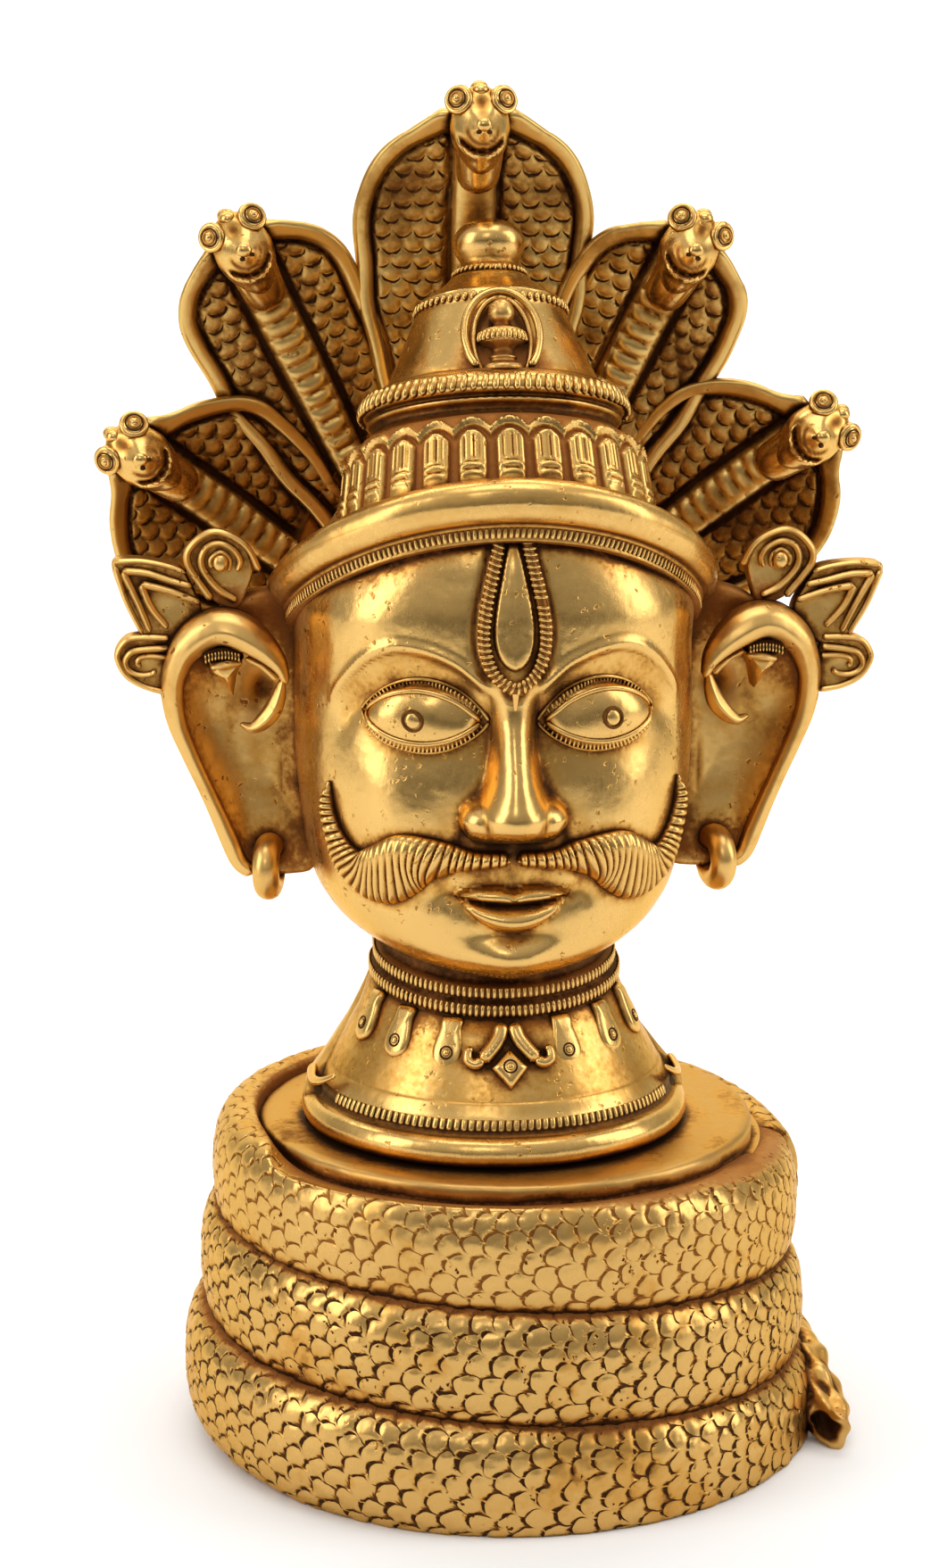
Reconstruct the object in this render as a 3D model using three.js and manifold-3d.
// Deity head under a five-headed serpent hood, standing on a coiled serpent. Cast brass.
// Millimetres, +Z up, the face looks along -Y, the origin is under the middle of the base.
import * as THREE from "three";
import { mergeVertices } from "three/addons/utils/BufferGeometryUtils.js";
import Module from "manifold-3d";

const wasm = await Module();
wasm.setup();

// Overall
const TOTAL_HEIGHT = 259.9;
const SEAT_GAP = 0.3;
const HEAD_SHIFT = -2.8;
const TURNED_SEGMENTS = 16;

// Coiled base
const DISC_TOP = 63;
const DISC_RADIUS = 48.4;
const DISC_EDGE = 3.4;
const CORE_RADIUS = 50;
const COIL_PITCH = 20.8;
const COIL_TOP_HEIGHT = 55.8;
const COIL_RADIUS = 50.4;
const COIL_SPREAD = 2.2;
const COIL_DRIFT = 1.2;
const COIL_START = [[-0.5, 45.4], [-0.4, 49.6], [-0.25, 53.4], [-0.05, 54.2], [0.1, 52.8], [0.25, 50.6]];
const COIL_WIDEST = 2.5;
const COIL_HALF_HEIGHT = 11.8;
const COIL_HALF_DEPTH = 7;
const COIL_SIDES = 10;
const COIL_STEPS = 18;
const COIL_STRETCHES = [[-0.5, 0.5], [0.5, 1.5], [1.5, 2.5], [2.5, 3.25]];
const BASE_SEGMENTS = 36;
const TAIL_LINE = [
  [42, 32, 5], [50, 28, 8], [55.5, 14, 8.6], [57.6, 0, 8.2], [58.4, -11, 7.6], [58.8, -20, 7.2],
];
const TAIL_SIZES = [[0, 8], [0.3, 8], [0.6, 6.8], [0.9, 5.4], [1, 4.2]];
const TAIL_END = { at: [60.2, -19.4, 3.4], halves: [4.4, 5.4, 4] };

// Foot and neck
const FOOT_BOTTOM = DISC_TOP + SEAT_GAP;
const NECK_CENTRE = -4;
const NECK_PROFILE = [
  [0, FOOT_BOTTOM], [36.2, FOOT_BOTTOM], [37.7, 66], [36.4, 68.8], [33.8, 69.4], [31.4, 76.5], [27, 84.4],
  [26, 86.6], [26.4, 89.4], [24.8, 90.2], [24.6, 92.8], [22.6, 94.4], [22.4, 106], [0, 106],
];
const PENDANTS = [-62, -41, -21, 21, 41, 62];
const PENDANT_REACH = 28.4;

// Stem behind the neck: height, half-width, depth of the curve in plan, back of the sheet
const STEM = [
  [FOOT_BOTTOM, 37, 38, 33], [69.5, 37, 38, 33], [75, 33, 32, 31], [83, 26.8, 22, 28], [93, 22.6, 16, 27],
  [104, 22.6, 12, 28], [118, 31, 8, 30], [150, 43, 4, 32.5], [176, 38, 2, 31.4], [198, 22, 0, 28.4],
];
const STEM_THICKNESS = 5;

// Head: height, half-width, depth of the front, depth of the back
const HEAD_SECTIONS = [
  [97.5, 12, 31, 16], [99.5, 20, 35.4, 18], [103.5, 28, 37.6, 20], [109, 33, 37.6, 22], [115, 35.4, 37, 24],
  [124, 36.8, 37.6, 26], [134, 37.8, 38, 28], [146, 38, 37, 30], [156, 37.8, 38.6, 30],
  [168, 37.6, 38.4, 29], [177, 32, 36.8, 26], [188, 25, 32, 22],
];
const EYE = { across: 15.6, depth: -34.6, height: 147.5, halfLength: 9.6, halfHeight: 4.3, turn: 0.42 };
const NOSE_LINE = [[0, -36, 158], [0, -39.4, 147], [0, -42.4, 136], [0, -44, 129.5], [0, -40, 126]];
const NOSE_SIZES = [[0, 2.6], [0.4, 3.2], [0.8, 5], [0.93, 4.4], [1, 2.6]];
const UPPER_LIP = [[-10.4, -35, 114.6], [-5, -38, 115.8], [0, -39, 115.6], [5, -38, 115.8], [10.4, -35, 114.6]];
const LOWER_LIP = [[-8, -35.6, 113], [-4, -37.8, 111.6], [0, -38.4, 111.2], [4, -37.8, 111.6], [8, -35.6, 113]];
const BROW_LINE = [[4, -39.6, 152.6], [11, -39, 158], [20, -35.2, 160], [28, -28, 157], [34, -18, 150]];
const MOUSTACHE_LINE = [
  [1.5, -40, 124], [8, -39.4, 122.6], [17, -36.4, 119.6], [25.4, -31, 120.6], [31.6, -24.6, 129],
];
const MOUSTACHE_SIZES = [[0, 2.6], [0.3, 3.6], [0.6, 4.6], [0.82, 3.2], [1, 0.8]];
const MARK = { height: 169, halfHeight: 15, halfWidth: 6.6, lower: 0.42 };

// Crown: an upright stack that leans back
const CROWN_FOOT = [0, -7, 183];
const CROWN_LEAN = 17;
const BRIM = { across: 39.4, front: 37.2, back: 20, low: 167, rise: 20, centre: -1.4 };
const BRIM_SECTION = [
  [3.4, 0], [2.2, 3.3], [-1, 4.3], [-5, 1], [-5, -7.4], [-0.4, -7.4], [0.6, -4.4], [2.2, -3.4],
];
const BRIM_STEPS = 22;
const FLUTES = 26;
const FLUTE_FOOT = [0, -8, 180];
const FLUTE_LEAN = 22.5;
const FLUTE_RADIUS = 29.2;
const FLUTE_DEPTH = 1.3;
const FLUTE_BOTTOM = -4;
const FLUTE_TOP = 12;
const CROWN_PROFILE = [
  [0, 4], [25, 4], [25, 11], [23.2, 13.6], [25, 16.2], [25, 19], [20.6, 20.6], [15, 35.6], [15.4, 37.2],
  [13.2, 38.8], [7.2, 42.8], [6.5, 44.6], [5.2, 45.8], [6.7, 49.6], [5.4, 52.8], [0, 54.4],
];

// Ear, right side, then mirrored
const EAR_RIM = [
  [39.4, -9, 122], [40, -8, 136], [44, -9, 153], [52, -8, 158.6], [59.4, -4, 152],
  [59, -2, 140], [52.6, -3, 123], [45.8, -5, 112],
];
const EAR_RIM_SIZES = [[0, 1.8], [0.3, 3.2], [0.7, 3.2], [1, 4]];
const EAR_OUTLINE = [
  [34, 168], [34, 118], [43.4, 116], [44, 108.4], [48.6, 109],
  [53.6, 121], [59.4, 138], [59.6, 152], [53, 159.6], [49, 168],
];
const EAR_FRONT = -3;
const EAR_THICKNESS = 7;
const EAR_RING = { at: [42.6, -3, 112.8], radius: 5.2, size: 2.5 };
const LEAF_OUTLINE = [[46, 164], [58, 169.6], [73.6, 172], [70, 161], [63.6, 150.6], [54, 150]];
const UPPER_SCROLL = { at: [52.4, 169.6], radius: 7.6 };
const LOWER_CURL = { at: [66.4, 152.4], radius: 5 };
const ORNAMENT_SHIFT = 1.2;
const ORNAMENT_FRONT = -4;
const ORNAMENT_THICKNESS = 5;

// Hoods: distance below the serpent head and half-width there
const MIDDLE_WIDTHS = [[-1.5, 7], [1.6, 11.8], [5.4, 17.2], [11, 21.4], [22, 23], [40, 21], [66, 13]];
const SECOND_WIDTHS = [[-1.5, 6], [1, 10.3], [5, 15.4], [12, 17.8], [26, 17.6], [42, 15], [66, 9]];
const OUTER_WIDTHS = [[-1.5, 6.5], [1.5, 9.5], [5, 15], [11, 20.4], [21, 22], [36, 18], [60, 9]];
// Hoods: reach of the head from the fan centre, angle from upright, how far forward the sheet lies
const FAN_CENTRE = [-2, 142];
const HEAD_CREST = 5.7;
const HOODS = [
  { reach: TOTAL_HEIGHT - HEAD_CREST - FAN_CENTRE[1], angle: 0, forward: 3, widths: MIDDLE_WIDTHS },
  { reach: 98, angle: 24.7, forward: 0, widths: SECOND_WIDTHS },
  { reach: 100, angle: -26.8, forward: 0, widths: SECOND_WIDTHS },
  { reach: 85.5, angle: 51.7, forward: -3, widths: OUTER_WIDTHS },
  { reach: 82.4, angle: -52.7, forward: -3, widths: OUTER_WIDTHS },
];
const HOOD_THICKNESS = 5;
const HOOD_BACK = 26;
const HOOD_CURL = 15;
const RIM_WIDTH = 3.4;
const RIM_RISE = 1.7;
const BAND_HALF_WIDTH = 4;
const BAND_RISE = 1.6;
const SERPENT_HEAD = { below: 2.2, halfLength: 7.9, halfWidth: 5.6, halfDepth: 6.4 };

const RAD = Math.PI / 180;

/** Straight-line reading of a table of [at, value] stops. */
function reading(stops, at, column = 1) {
  if (at <= stops[0][0]) return stops[0][column];
  for (let i = 1; i < stops.length; i += 1) {
    const [before, after] = [stops[i - 1], stops[i]];
    if (at <= after[0]) {
      const share = (at - before[0]) / (after[0] - before[0]);
      return before[column] + share * (after[column] - before[column]);
    }
  }
  return stops[stops.length - 1][column];
}

/** Moves every corner of a geometry to the place a function gives for it. */
function shaped(geometry, place) {
  const corners = geometry.attributes.position;
  const corner = new THREE.Vector3();
  for (let i = 0; i < corners.count; i += 1) {
    corner.fromBufferAttribute(corners, i);
    const moved = place(corner);
    corners.setXYZ(i, moved.x, moved.y, moved.z);
  }
  return geometry;
}

/** Six times the volume inside a list of triangles, negative when they face inwards. */
function signedSize(corners, triangles) {
  const [a, b, c] = [new THREE.Vector3(), new THREE.Vector3(), new THREE.Vector3()];
  let sum = 0;
  for (let i = 0; i < triangles.length; i += 3) {
    a.fromArray(corners, triangles[i] * 3);
    b.fromArray(corners, triangles[i + 1] * 3);
    c.fromArray(corners, triangles[i + 2] * 3);
    sum += a.dot(b.cross(c));
  }
  return sum;
}

/** A closed geometry as a solid for joining and cutting. */
function toSolid(source) {
  const bare = source.index ? source.toNonIndexed() : source.clone();
  for (const name of Object.keys(bare.attributes)) {
    if (name !== "position") bare.deleteAttribute(name);
  }
  const merged = mergeVertices(bare, 1e-3);
  const corners = Array.from(merged.attributes.position.array);
  const all = Array.from(merged.index.array);
  const kept = [];
  for (let i = 0; i < all.length; i += 3) {
    const [a, b, c] = [all[i], all[i + 1], all[i + 2]];
    if (a !== b && b !== c && a !== c) kept.push(a, b, c);
  }
  if (signedSize(corners, kept) < 0) kept.reverse();
  const mesh = new wasm.Mesh({
    numProp: 3,
    vertProperties: new Float32Array(corners),
    triVerts: new Uint32Array(kept),
  });
  return new wasm.Manifold(mesh);
}

/** One solid out of several overlapping geometries. */
function joined(geometries) {
  return geometries.map(toSolid).reduce((whole, piece) => whole.add(piece));
}

/** A named mesh out of a solid. */
function toMesh(solid, name, material) {
  const mesh = solid.getMesh();
  const geometry = new THREE.BufferGeometry();
  geometry.setAttribute("position", new THREE.BufferAttribute(new Float32Array(mesh.vertProperties), 3));
  geometry.setIndex(new THREE.BufferAttribute(new Uint32Array(mesh.triVerts), 1));
  geometry.computeVertexNormals();
  const result = new THREE.Mesh(geometry, material);
  result.name = name;
  return result;
}

/** A piece and its copy on the other side. */
function pair(geometry) {
  return [geometry, geometry.clone().scale(-1, 1, 1)];
}

/** A turned solid about the upright axis from [radius, height] points. */
function turned(profile, segments) {
  const points = profile.map(([radius, height]) => new THREE.Vector2(radius, height));
  return new THREE.LatheGeometry(points, segments).rotateX(Math.PI / 2);
}

/** A rod along a smooth line. Its flat side looks along facing. */
function rod(line, size, { sides = 6, steps = 8, flat = 1, facing = [0, -1, 0] } = {}) {
  const curve = new THREE.CatmullRomCurve3(line.map((point) => new THREE.Vector3(...point)));
  const front = new THREE.Vector3(...facing);
  return shaped(new THREE.CylinderGeometry(1, 1, 1, sides, steps), (corner) => {
    const share = THREE.MathUtils.clamp(corner.y + 0.5, 0, 1);
    const along = curve.getTangentAt(share);
    const out = front.clone().addScaledVector(along, -front.dot(along)).normalize();
    const side = along.clone().cross(out);
    const width = size(share);
    return curve.getPointAt(share)
      .addScaledVector(side, corner.x * width)
      .addScaledVector(out, corner.z * width * flat);
  });
}

/** A closed hoop whose centre line and outward direction are given by an angle. */
function hoop(place, outward, size, { sides = 6, steps = 32, tall = 1, upward = [0, 0, 1] } = {}) {
  const guide = 10;
  return shaped(new THREE.TorusGeometry(guide, 1, sides, steps), (corner) => {
    const angle = Math.atan2(corner.y, corner.x);
    const reach = Math.hypot(corner.x, corner.y) - guide;
    return place(angle)
      .addScaledVector(outward(angle), reach * size)
      .addScaledVector(new THREE.Vector3(...upward), corner.z * size * tall);
  });
}

/** A ball stretched to three half-sizes and set in place. */
function ball(at, halves, { around = 8, rows = 6, turn = 0, tip = 0 } = {}) {
  return new THREE.SphereGeometry(1, around, rows)
    .scale(...halves).rotateY(tip).rotateZ(turn).translate(...at);
}

/** Height of the coil's centre line after a number of turns from its left side. */
function coilHeight(turns) {
  const falling = COIL_TOP_HEIGHT - COIL_PITCH * turns;
  if (turns >= 0.25) return falling;
  return reading(COIL_START, turns);
}

/** One stretch of the coil, from one number of turns to another. */
function coilStretch(from, to) {
  const steps = Math.round((to - from) * COIL_STEPS);
  return shaped(new THREE.CylinderGeometry(1, 1, 1, COIL_SIDES, steps), (corner) => {
    const turns = from + (to - from) * THREE.MathUtils.clamp(corner.y + 0.5, 0, 1);
    const angle = Math.PI + turns * 2 * Math.PI;
    const fuller = corner.x ** 2 + corner.z ** 2 > 0.5 ? 1 + 0.36 * (corner.x * corner.z) ** 2 : 1;
    const spread = COIL_SPREAD * Math.min(Math.abs(turns), 2 * COIL_WIDEST - turns);
    const radius = COIL_RADIUS + spread + corner.x * COIL_HALF_DEPTH * fuller;
    const height = coilHeight(turns) + corner.z * COIL_HALF_HEIGHT * fuller;
    const drift = COIL_DRIFT * Math.max(turns - 0.75, 0);
    return new THREE.Vector3(radius * Math.cos(angle) - drift, radius * Math.sin(angle), height);
  });
}

/** The serpent body in three turns with the disc on top and the tail on the ground. */
function coiledBase() {
  const under = DISC_TOP - DISC_EDGE;
  const above = DISC_TOP + 12;
  const seat = turned([
    [0, under], [DISC_RADIUS + 0.8, under], [DISC_RADIUS + 4, DISC_TOP + 3],
    [DISC_RADIUS + 4, above], [0, above],
  ], BASE_SEGMENTS);
  const core = turned([
    [0, -6], [CORE_RADIUS + 5.6, -6], [CORE_RADIUS, 50], [CORE_RADIUS, under], [0, under],
  ], BASE_SEGMENTS);
  const disc = turned([
    [0, under - 5.6], [DISC_RADIUS - 0.8, under - 5.6], [DISC_RADIUS, DISC_TOP - 2.2],
    [DISC_RADIUS - 1, DISC_TOP], [0, DISC_TOP],
  ], BASE_SEGMENTS);
  const stretches = COIL_STRETCHES.map(([from, to]) => coilStretch(from, to));
  const tail = rod(TAIL_LINE, (share) => reading(TAIL_SIZES, share), { sides: 7, steps: 7 });
  const tailEnd = ball(TAIL_END.at, TAIL_END.halves, { around: 7, rows: 5 });
  const ground = new THREE.BoxGeometry(300, 300, 60).translate(0, 0, -30);
  const serpent = joined([...stretches, core, tail, tailEnd]);
  return serpent.subtract(toSolid(seat)).add(toSolid(disc)).subtract(toSolid(ground));
}

/** The rolled foot rim, the yoke and the neck. */
function neck() {
  const body = turned(NECK_PROFILE, TURNED_SEGMENTS).translate(0, NECK_CENTRE, 0);
  const drops = PENDANTS.map((angle) => {
    const turn = angle * RAD;
    const at = [PENDANT_REACH * Math.sin(turn), NECK_CENTRE - PENDANT_REACH * Math.cos(turn), 82.6];
    return ball(at, [3.4, 3, 6.4], { around: 5, rows: 3, turn });
  });
  const flower = ball([0, NECK_CENTRE - 30, 80], [3, 2.2, 5], { around: 4, rows: 3 });
  const curls = pair(ball([4.4, NECK_CENTRE - 28.4, 83], [2, 1.8, 2.6], { around: 5, rows: 3 }));
  const clasps = pair(ball([35, -10, 70], [3, 5, 2.6], { around: 5, rows: 3, turn: 0.3 }));
  return [body, ...drops, flower, ...curls, ...clasps];
}

/** The sheet that carries the hood down behind the neck to the foot. */
function stem() {
  const bottom = STEM[0][0];
  const top = STEM[STEM.length - 1][0];
  return shaped(new THREE.BoxGeometry(1, 1, 1, 8, 6, 1), (corner) => {
    const height = bottom + (top - bottom) * (corner.y + 0.5) ** 1.5;
    const angle = corner.x * Math.PI;
    const inset = corner.z > 0 ? STEM_THICKNESS : 0;
    const across = (reading(STEM, height, 1) - inset * 0.7) * Math.sin(angle);
    const depth = reading(STEM, height, 2) * (1 - Math.cos(angle));
    return new THREE.Vector3(across, reading(STEM, height, 3) - inset - depth, height);
  });
}

/** The plain form of the head between the chin and the brim. */
function skull() {
  const rows = HEAD_SECTIONS.length - 1;
  return shaped(new THREE.CylinderGeometry(1, 1, 1, 16, rows), (corner) => {
    const [height, half, front, back] = HEAD_SECTIONS[Math.round((corner.y + 0.5) * rows)];
    const depth = corner.z > 0 ? front : back;
    const fuller = 1 + 0.16 * (corner.x * corner.z) ** 2;
    return new THREE.Vector3(corner.x * half * fuller, -corner.z * depth * fuller, height);
  });
}

/** The two eyes with their lids, each a raised almond. */
function eyes() {
  const pointed = (share) => Math.max(0, 1 - share * share) ** 0.8;
  const almond = shaped(new THREE.SphereGeometry(1, 7, 4).rotateZ(Math.PI / 2), (corner) => {
    const tall = EYE.halfHeight * pointed(corner.x * 0.7);
    return new THREE.Vector3(corner.x * EYE.halfLength, corner.y * 3.4, corner.z * tall);
  }).rotateZ(EYE.turn).translate(EYE.across, EYE.depth, EYE.height);
  const lid = (lift) => {
    const line = [-1, -0.5, 0, 0.5, 1].map((share) => {
      const along = share * (EYE.halfLength + 1.4);
      const point = new THREE.Vector3(along, -2.4 * (1 - share * share) - 0.6, lift * (1 - share * share));
      point.applyAxisAngle(new THREE.Vector3(0, 0, 1), EYE.turn);
      return [point.x + EYE.across, point.y + EYE.depth, point.z + EYE.height];
    });
    return rod(line, () => 1.15, { sides: 4, steps: 4 });
  };
  return [...pair(almond), ...pair(lid(EYE.halfHeight + 1.4)), ...pair(lid(-EYE.halfHeight - 0.6))];
}

/** Nose, brows, lips and moustache. */
function features() {
  const nose = rod(NOSE_LINE, (share) => reading(NOSE_SIZES, share), { sides: 6, steps: 5 });
  const wings = pair(ball([4.6, -40.6, 129.4], [3, 3.6, 3], { around: 5, rows: 3 }));
  const brow = rod(BROW_LINE, (share) => 1.9 - 1.1 * share, { sides: 4, steps: 5 });
  const moustache = rod(MOUSTACHE_LINE, (share) => reading(MOUSTACHE_SIZES, share),
    { sides: 6, steps: 7, flat: 0.7 });
  const fullest = (least, more) => (share) => least + more * Math.sin(share * Math.PI);
  const upperLip = rod(UPPER_LIP, fullest(0.6, 1.5), { sides: 4, steps: 5 });
  const lowerLip = rod(LOWER_LIP, fullest(0.6, 1.7), { sides: 4, steps: 4 });
  return [nose, ...wings, ...pair(brow), ...pair(moustache), upperLip, lowerLip];
}

/** The leaf-shaped mark on the forehead with its raised border. */
function foreheadMark() {
  const border = (angle) => {
    const rise = Math.sin(angle);
    const across = Math.cos(angle) * Math.abs(Math.cos(angle)) ** 0.3 * (1 - MARK.lower * rise);
    return new THREE.Vector3(MARK.halfWidth * across, -38.4, MARK.height + rise * MARK.halfHeight);
  };
  const outward = (angle) => new THREE.Vector3(Math.cos(angle), 0, Math.sin(angle));
  const leaf = hoop(border, outward, 1.1, { sides: 4, steps: 12, upward: [0, -1, 0] });
  const centre = ball([0, -36.8, MARK.height - 2], [4.6, 3, 12], { around: 7, rows: 4 });
  return [centre, leaf];
}

/** Sets a geometry built about an upright axis in place on the head, leaning back. */
function onHead(geometry, lean, foot) {
  return geometry.rotateX(-lean * RAD).translate(...foot);
}

/** The rolled brim with the narrow hatched band under it, as one ring. */
function brim() {
  const guide = 10;
  return shaped(new THREE.TorusGeometry(guide, 1, BRIM_SECTION.length, BRIM_STEPS), (corner) => {
    const angle = Math.atan2(corner.y, corner.x);
    const place = Math.atan2(corner.z, Math.hypot(corner.x, corner.y) - guide) / (2 * Math.PI);
    const count = BRIM_SECTION.length;
    const [out, up] = BRIM_SECTION[(Math.round(place * count) + count) % count];
    const front = Math.max(0, -Math.sin(angle));
    const depth = (Math.sin(angle) < 0 ? BRIM.front : BRIM.back) + out;
    return new THREE.Vector3(
      (BRIM.across + out) * Math.cos(angle),
      BRIM.centre + depth * Math.sin(angle),
      BRIM.low + BRIM.rise * front ** 1.2 + up);
  });
}

/** The ring of round-headed flutes that stands on the brim. */
function flutes() {
  const each = 2;
  const rows = 2;
  const ring = shaped(new THREE.CylinderGeometry(1, 1, 1, FLUTES * each, rows), (corner) => {
    const angle = Math.atan2(corner.x, corner.z);
    const onRim = Math.hypot(corner.x, corner.z);
    const wave = Math.abs(Math.sin((angle * FLUTES) / 2));
    const row = Math.round((corner.y + 0.5) * rows);
    const radius = onRim * (FLUTE_RADIUS - row * 0.5 + (row < rows ? FLUTE_DEPTH * wave ** 0.6 : 0));
    const height = [FLUTE_BOTTOM, FLUTE_TOP - 3 + 1.6 * wave, FLUTE_TOP][row];
    return new THREE.Vector3(radius * Math.sin(angle), -radius * Math.cos(angle), height);
  });
  return onHead(ring, FLUTE_LEAN, FLUTE_FOOT);
}

/** The turned part of the crown up to the knob, with the arched niche on its front. */
function crownTop() {
  const body = turned(CROWN_PROFILE, TURNED_SEGMENTS);
  const arch = rod([[-5, -20, 21.4], [-5.8, -17.6, 29], [0, -15.4, 38], [5.8, -17.6, 29], [5, -20, 21.4]],
    () => 1.1, { sides: 4, steps: 6 });
  const cup = turned([[0, 20.4], [3.9, 20.4], [2, 24], [4.6, 27], [1.8, 29.6], [0, 29.6]], 6)
    .translate(0, -18.6, 0);
  const bead = ball([0, -17.2, 31.6], [2.2, 2.2, 2.6], { around: 5, rows: 4 });
  return [body, arch, cup, bead].map((piece) => onHead(piece, CROWN_LEAN, CROWN_FOOT));
}

/** A flat plate cut to an outline of [across, height] points, its front at a given depth. */
function plate(outline, front, thickness) {
  const shape = new THREE.Shape(outline.map(([x, z]) => new THREE.Vector2(x, z)));
  return new THREE.ExtrudeGeometry(shape, { depth: thickness, bevelEnabled: false })
    .rotateX(Math.PI / 2).translate(0, front + thickness, 0);
}

/** The right ear with its rim, hollow, drop, long lobe and ring. */
function ear() {
  const hollow = plate(EAR_OUTLINE, EAR_FRONT, EAR_THICKNESS);
  const rim = rod(EAR_RIM, (share) => reading(EAR_RIM_SIZES, share), { sides: 5, steps: 8 });
  const drop = ball([50.6, -4.4, 150], [3.4, 3.4, 5.4], { around: 4, rows: 2 });
  const [x, y, z] = EAR_RING.at;
  const ring = new THREE.TorusGeometry(EAR_RING.radius, EAR_RING.size, 5, 8)
    .rotateY(80 * RAD).translate(x, y, z);
  return [hollow, rim, drop, ring];
}

/** A round scroll boss with a raised rim and a raised middle. */
function scroll({ at, radius }) {
  const [x, z] = at;
  const profile = [
    [0, 2], [radius * 0.26, 1.6], [radius * 0.4, -0.2], [radius * 0.66, -0.2], [radius * 0.84, 1.6],
    [radius, 0.6], [radius, -ORNAMENT_THICKNESS], [0, -ORNAMENT_THICKNESS],
  ];
  const points = profile.map(([reach, depth]) => new THREE.Vector2(reach, depth));
  return new THREE.LatheGeometry(points, 9).rotateX(Math.PI).translate(x, ORNAMENT_FRONT, z);
}

/** The pointed leaf and the two scrolls outside the right ear. */
function earOrnament() {
  const leaf = plate(LEAF_OUTLINE, ORNAMENT_FRONT, ORNAMENT_THICKNESS);
  const [tipX, tipZ] = LEAF_OUTLINE[2];
  const inset = ([x, z]) => [59 + (x - 59) * 0.86, ORNAMENT_FRONT, 159 + (z - 159) * 0.86];
  const edge = (end) => rod([inset([tipX, tipZ]), inset(end)], () => 0.9, { sides: 4, steps: 1 });
  const edges = [edge(LEAF_OUTLINE[1]), edge(LEAF_OUTLINE[4])];
  return [leaf, ...edges, scroll(UPPER_SCROLL), scroll(LOWER_CURL)];
}

/** Front of a hood's sheet at a distance below its serpent head. */
function hoodFront(hood, below) {
  return HOOD_BACK - hood.forward - HOOD_CURL * Math.exp(-Math.max(below, 0) / 22);
}

/** Sets a point of a hood, given along and across its axis, in place. */
function onHood(hood, below, across, depth) {
  const turn = hood.angle * RAD;
  const along = hood.reach - below;
  return new THREE.Vector3(
    FAN_CENTRE[0] + along * Math.sin(turn) + across * Math.cos(turn),
    depth,
    FAN_CENTRE[1] + along * Math.cos(turn) - across * Math.sin(turn));
}

/** The spread sheet of one hood with its rolled rim and the band down its middle. */
function hoodSheet(hood) {
  const columns = 6;
  const rows = hood.widths.length - 1;
  return shaped(new THREE.BoxGeometry(1, 1, 1, columns, rows, 1), (corner) => {
    const [below, width] = hood.widths[rows - Math.round((corner.y + 0.5) * rows)];
    const column = Math.round((corner.x + 0.5) * columns) - columns / 2;
    const band = Math.min(BAND_HALF_WIDTH, width * 0.4);
    const rim = Math.min(RIM_WIDTH, width * 0.3);
    const across = [0, band, width - rim, width][Math.abs(column)] * Math.sign(column);
    const rise = [BAND_RISE, 0, 0, RIM_RISE][Math.abs(column)];
    const front = hoodFront(hood, below);
    return onHood(hood, below, across, corner.z > 0 ? front - rise : front + HOOD_THICKNESS);
  });
}

/** One serpent head at the tip of a hood, with its eyes and snout. */
function serpentHead(hood) {
  const { below, halfLength, halfWidth, halfDepth } = SERPENT_HEAD;
  const front = hoodFront(hood, 0);
  const form = shaped(new THREE.SphereGeometry(1, 6, 5), (corner) => {
    const narrow = 1 - 0.25 * Math.max(0, -corner.y);
    const across = corner.x * halfWidth * narrow;
    return onHood(hood, below - corner.y * halfLength, across, front - 4 - corner.z * halfDepth);
  });
  const knob = (down, across, ahead, size) => {
    const at = onHood(hood, down, across, front - ahead);
    return ball([at.x, at.y, at.z], [size, size, size], { around: 5, rows: 3 });
  };
  return [form, knob(-2.9, 3.7, 6, 2.7), knob(-2.9, -3.7, 6, 2.7), knob(2.6, 0, 9.6, 2.8)];
}

/** The head casting: foot, neck, head, crown, ears and the five hoods. */
function deityHead() {
  const sheets = HOODS.map(hoodSheet);
  const heads = HOODS.flatMap(serpentHead);
  const ears = ear().flatMap(pair);
  const ornaments = earOrnament().flatMap(pair).map((piece) => piece.translate(ORNAMENT_SHIFT, 0, 0));
  const all = joined([
    ...neck(), stem(), skull(), ...eyes(), ...features(), ...foreheadMark(),
    brim(), flutes(), ...crownTop(), ...ears, ...ornaments, ...sheets, ...heads,
  ]);
  const below = new THREE.BoxGeometry(300, 300, 60).translate(0, 0, FOOT_BOTTOM - 30);
  return all.subtract(toSolid(below));
}

const brass = new THREE.MeshStandardMaterial({ color: 0xc9973f, roughness: 0.32, metalness: 1 });
const group = new THREE.Group();
group.name = "naga_deity_head";
const base = toMesh(coiledBase(), "coiled_naga_base", brass);
const head = toMesh(deityHead(), "deity_head_with_naga_hood", brass);
head.geometry.translate(HEAD_SHIFT, 0, 0);
group.add(base, head);

export default group;
